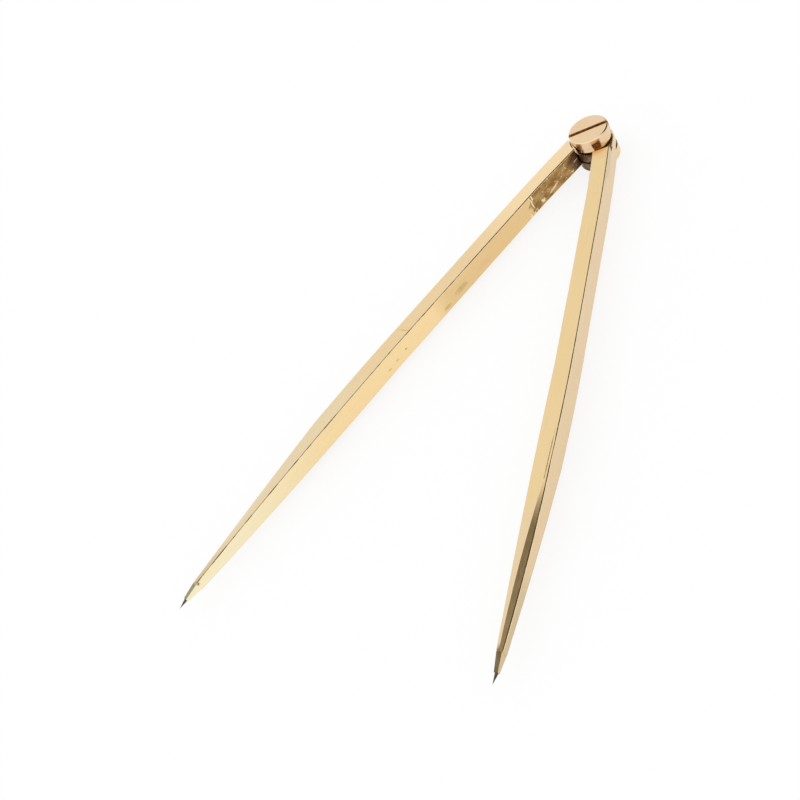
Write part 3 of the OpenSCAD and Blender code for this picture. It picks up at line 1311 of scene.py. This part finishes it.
def right_marks() -> tuple[Mark, ...]:
    """Gives the right leg's painted warm reflection and tan stretch by the hinge, and the painted dark line
    where its flat starts.

    Returns:
        The three marks.
    """
    line = (0.22, 0.13, 0.04)
    glow = (0.88, 0.50, 0.20)
    tan = (0.58, 0.45, 0.25)
    leaning = (0.0, 0.0, math.radians(2.6))
    return (
        # painted warm reflection on the front by the hinge
        Mark(LegFace.FRONT, (3.7, -7.6, 0.0), (3.4, 2.6, 1.0), glow, 0.36),
        Mark(LegFace.OUTER, (6.3, -10.0, -0.8), (2.0, 10.0, 2.0), tan, 0.55),
        # painted dark line along the edge where the flat meets the front
        Mark(LegFace.FRONT, (4.8, -106.0, 0.0), (0.14, 9.0, 1.0), line, 0.95, leaning),
    )


def left_tints() -> tuple[Tint, ...]:
    """Gives the painted light and shade along the left leg, from the hinge to the nose.

    Returns:
        The tints of each side in turn.
    """
    return (
        Tint(LegFace.FRONT, (0.93, 0.71, 0.425), -20.0),
        Tint(LegFace.FRONT, (0.83, 0.63, 0.36), 36.0, 12.0),
        Tint(LegFace.FRONT, (0.80, 0.655, 0.425), 92.0, 12.0),
        Tint(LegFace.FRONT, (0.64, 0.53, 0.32), 145.0, 6.0),
        Tint(LegFace.FRONT, (0.30, 0.27, 0.18), 153.2, 0.6),
        Tint(LegFace.FLAT, (0.80, 0.655, 0.425), -20.0),
        Tint(LegFace.FLAT, (0.64, 0.53, 0.32), 145.0, 6.0),
        Tint(LegFace.INNER, (0.82, 0.575, 0.28), -20.0),
        Tint(LegFace.INNER, (0.96, 0.72, 0.38), 61.0, 4.0),
        Tint(LegFace.INNER, (0.96, 0.86, 0.58), 120.0, 22.0),
    )


def right_tints() -> tuple[Tint, ...]:
    """Gives the painted light and shade along the right leg, from the hinge to the nose.

    Returns:
        The tints of each side in turn.
    """
    return (
        Tint(LegFace.FRONT, (0.845, 0.635, 0.333), -20.0),
        Tint(LegFace.FRONT, (0.81, 0.635, 0.40), 120.0, 10.0),
        Tint(LegFace.FRONT, (0.14, 0.10, 0.045), 152.0, 1.2),
        Tint(LegFace.FLAT, (0.82, 0.615, 0.325), -20.0),
        Tint(LegFace.OUTER, (0.80, 0.60, 0.36), -20.0),
        Tint(LegFace.OUTER, (0.66, 0.51, 0.30), 136.0, 6.0),
    )


def make_legs(half_open: float) -> tuple[Leg, Leg]:
    """Gives both legs with their finishes.

    Args:
        half_open: Half the angle between the legs at rest.

    Returns:
        The left and the right leg.
    """
    # painted shade in the crotch and on the laps, and a painted highlight on the rounded edges
    hinge_brown = ShadedBrass("hinge_brown", (0.12, 0.065, 0.04), (0.30, 0.19, 0.10))
    lap_shade = ShadedBrass("lap_shade", SHADE_DARK, SHADE_LIGHT)
    polish = EdgeLine("edge_highlight", (0.97, 0.82, 0.54), (0.99, 0.90, 0.68))
    left = Leg(
        side=Side.LEFT,
        half_open=half_open,
        brass=LegBrass("left_leg_polish", Side.LEFT, half_open, left_tints(), left_marks(), CastSkin()),
        line=EdgeLine("left_edge_line"),
        polish=polish,
        dark_edges=(LineEdge.FRONT_INNER,),
        bright_edges=(LineEdge.FRONT_OUTER,),
        hinge_brown=hinge_brown,
        # painted shade on the shoulder faces in the recess under the head
        shoulder_brown=ShadedBrass("left_shoulder_brown", (0.10, 0.05, 0.03), (0.22, 0.13, 0.06)),
        lap_shade=lap_shade,
        steel=GroundSteel("left_point_ground"),
    )
    # a painted dark reflection on the edge, lighter with a painted highlight in stretches of the first 72 mm
    right_line = EdgeLine(
        "right_edge_line", (0.22, 0.12, 0.03), (0.80, 0.60, 0.28), -0.01, 0.072, lit_share=0.22
    )
    right = Leg(
        side=Side.RIGHT,
        half_open=half_open,
        brass=LegBrass("right_leg_polish", Side.RIGHT, half_open, right_tints(), right_marks()),
        line=right_line,
        polish=polish,
        dark_edges=(LineEdge.FRONT_OUTER, LineEdge.BACK_OUTER),
        bright_edges=(),
        hinge_brown=hinge_brown,
        # the right shoulder's painted shade is amber, which the head's wall shows as an amber reflection
        shoulder_brown=ShadedBrass("shoulder_amber", (0.42, 0.20, 0.035), (0.80, 0.50, 0.14)),
        lap_shade=lap_shade,
        steel=GroundSteel("right_point_ground"),
    )
    return left, right


def make_fasteners() -> tuple[Fastener, Fastener]:
    """Gives the pivot screw and its lock nut, with their finishes.

    Returns:
        The screw and the nut.
    """
    finishes = (
        TurnedBrass("turned_polish"),
        # painted shade in the screwdriver slot, and a painted highlight on the rounded rims
        ShadedBrass("slot_brown", (0.48, 0.27, 0.10), (0.74, 0.46, 0.19)),
        EdgeLine("rim_highlight", (0.90, 0.70, 0.42), (0.94, 0.76, 0.48), dull=0.14, shine=0.08),
    )
    screw = Fastener("pivot_screw", "left", *finishes, slot_turn=math.radians(32.0), slot_width=0.00095)
    nut = Fastener("lock_nut", "left", *finishes, slot_turn=0.0, slot_width=0.0008)
    return screw, nut


def make_washer(node: str) -> TurnedRing:
    """Gives the washer of the left body that stands for a solid, painted near black as the shade in the gap
    it fills.
    """
    return TurnedRing(node, "left", ShadedBrass(f"{node}_painted_shade", SHADE_DARK, SHADE_LIGHT))


def make_studio(floor_level: float) -> Studio:
    """Gives the studio with the photograph's camera.

    Args:
        floor_level: Height of the floor.

    Returns:
        The studio, still to be built.
    """
    return Studio(
        camera_place=Vector((215.99, -260.64, 247.5)) * MM,
        camera_target=Vector((-15.63, -87.70, -2.875)) * MM,
        camera_roll=math.radians(-34.63),
        lens_mm=71.34,
        floor_level=floor_level,
    )


def report(piece: bpy.types.Object) -> None:
    """Logs one finished piece with its number of faces."""
    LOG.info("%s: %d faces", piece.name, len(piece.data.polygons))


def main() -> None:
    """Builds and reports every piece in order, then makes the studio."""
    logging.basicConfig(level=logging.INFO, format="%(name)s %(message)s")
    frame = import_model()
    solid_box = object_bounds()
    nodes = frame["nodes"]
    half_open = math.radians(-frame["joints"][0]["range_deg"][0]) / 2
    for leg in make_legs(half_open):
        report(leg.build(nodes))
        report(leg.dress_point(nodes))
    for fastener in make_fasteners():
        report(fastener.build(nodes))
    for name in ("head_washer", "leaf_washer"):
        report(make_washer(name).build(nodes))
    make_studio(solid_box[0].z - FLOOR_GAP).build()


if __name__ == "__main__":
    main()
